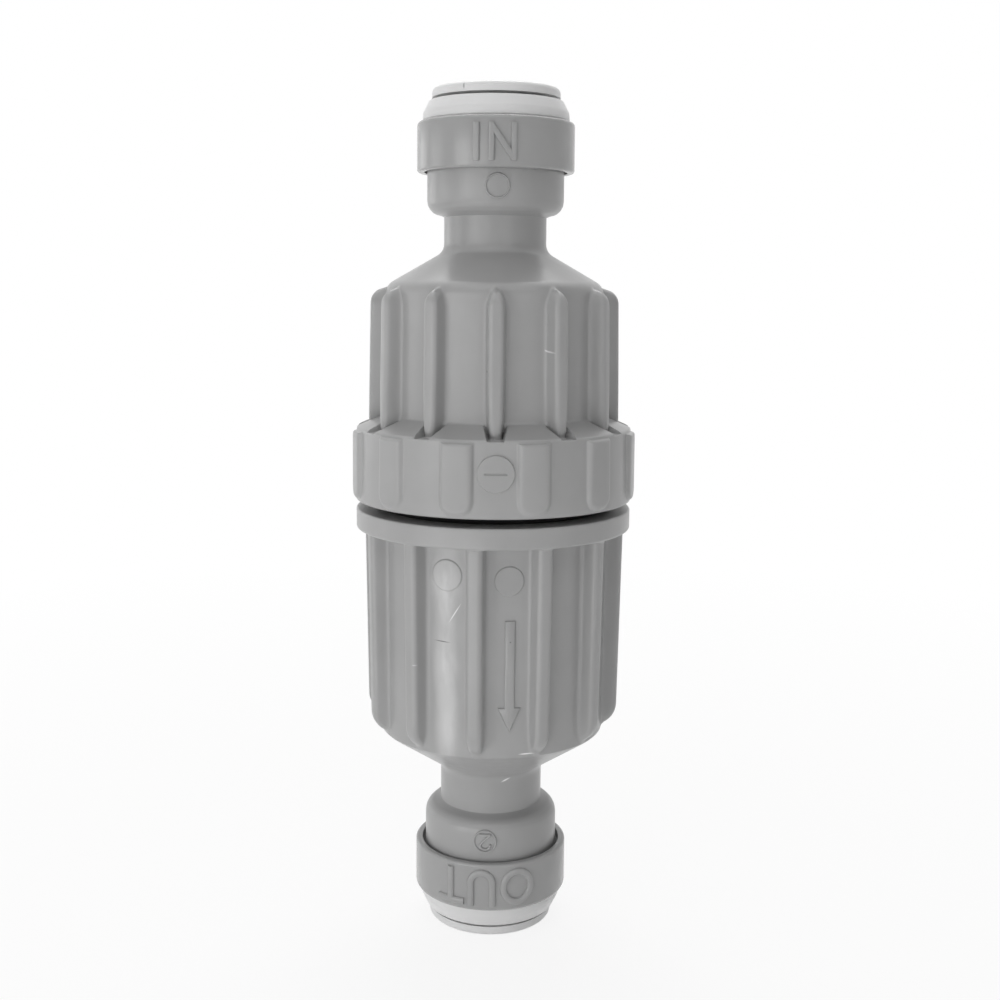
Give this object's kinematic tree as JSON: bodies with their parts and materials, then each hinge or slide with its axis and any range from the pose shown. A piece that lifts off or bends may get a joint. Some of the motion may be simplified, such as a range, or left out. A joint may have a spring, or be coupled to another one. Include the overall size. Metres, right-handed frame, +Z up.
{
  "type": "inline strainer",
  "caption": "Inline strainer for 12 mm tube: two ribbed plastic barrels screwed together round a mesh sleeve, with a push-in tube port at each end.",
  "frame": {"origin": "centre of the outlet collet's end, on which the strainer stands", "axes": "+Z up along the flow axis, from the outlet port to the inlet port; -Y is the side with the flow arrow"},
  "size_m": [0.0468, 0.0468, 0.1398],
  "materials": {
    "body_plastic": "satin grey moulded acetal",
    "cap_plastic": "satin grey moulded acetal, a little darker",
    "collet_plastic": "satin white acetal",
    "retainer_plastic": "satin white acetal",
    "element_plastic": "natural white plastic",
    "element_steel": "perforated stainless sheet",
    "teeth_steel": "stamped stainless blades",
    "spacer_plastic": "natural white plastic",
    "seal_rubber": "black rubber"
  },
  "bodies": {
    "housing": {"outlet_body": "body_plastic", "body_seal": "seal_rubber", "outlet_cap": "cap_plastic", "outlet_retainer": "retainer_plastic", "outlet_spacer": "spacer_plastic", "outlet_tube_seal": "seal_rubber"},
    "strainer": {"strainer_collar": "element_plastic", "strainer_mesh": "element_steel", "strainer_end_cap": "element_plastic"},
    "inlet_half": {"inlet_body": "body_plastic", "inlet_cap": "cap_plastic", "inlet_retainer": "retainer_plastic", "inlet_spacer": "spacer_plastic", "inlet_tube_seal": "seal_rubber"},
    "inlet_collet": {"inlet_collet": "collet_plastic", "inlet_collet_teeth": "teeth_steel"},
    "outlet_collet": {"outlet_collet": "collet_plastic", "outlet_collet_teeth": "teeth_steel"}
  },
  "joints": [
    {"name": "strainer_lift", "type": "slide", "parent": "housing", "child": "strainer", "axis": [0, 0, 1], "range_m": [0, 0.00801]},
    {"name": "inlet_half_turn", "type": "hinge", "parent": "strainer", "child": "inlet_half", "pos_m": [0, 0, 0.08], "axis": [0, 0, 1], "range_deg": [0, 720]},
    {"name": "inlet_collet_press", "type": "slide", "parent": "inlet_half", "child": "inlet_collet", "axis": [0, 0, -1], "range_m": [0, 0.0008]},
    {"name": "outlet_collet_press", "type": "slide", "parent": "housing", "child": "outlet_collet", "axis": [0, 0, 1], "range_m": [0, 0.0008]}
  ],
  "couplings": [
    {"joint": "strainer_lift", "follows": "inlet_half_turn", "m_per_rad": 0.00063662}
  ]
}
